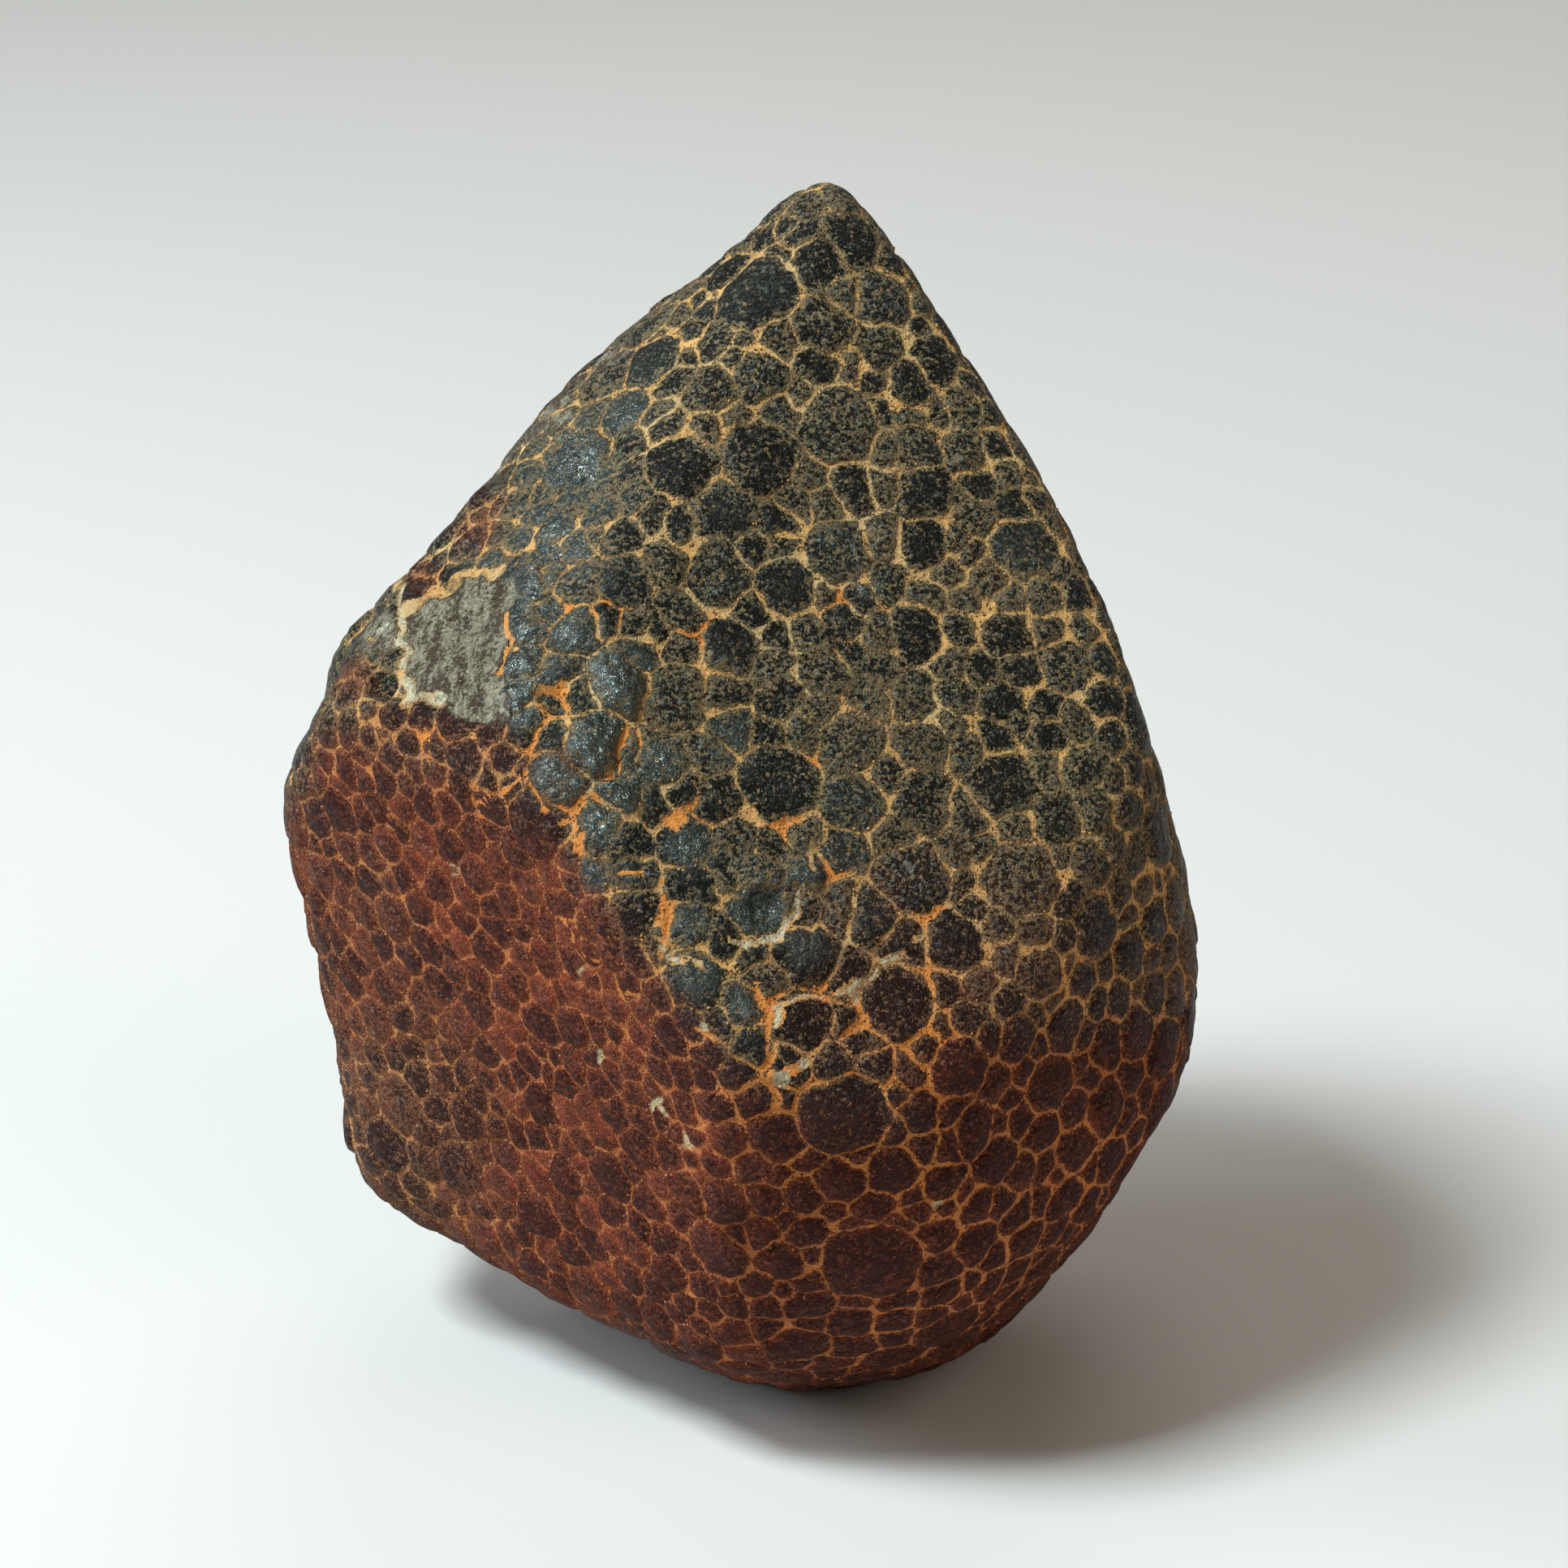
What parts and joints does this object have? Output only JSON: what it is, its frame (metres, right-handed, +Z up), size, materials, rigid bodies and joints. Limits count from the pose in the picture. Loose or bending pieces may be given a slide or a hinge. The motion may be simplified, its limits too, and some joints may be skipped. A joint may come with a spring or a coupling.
{
  "type": "chondrite meteorite",
  "caption": "Single angular stone with rounded edges and a pointed top, its dark crust crazed into small domed plates; it rests on a small flat spot.",
  "frame": {"origin": "middle of the rest spot, on the surface the stone stands on", "axes": "+Z up to the tip, main lit face towards -Y, +X to the right of that face"},
  "size_m": [0.0463, 0.0432, 0.0594],
  "materials": {
    "crust": "dark weathered fusion crust, satin, with ochre grit in its cracks"
  },
  "bodies": {
    "root": {"stone": "crust"}
  },
  "joints": []
}
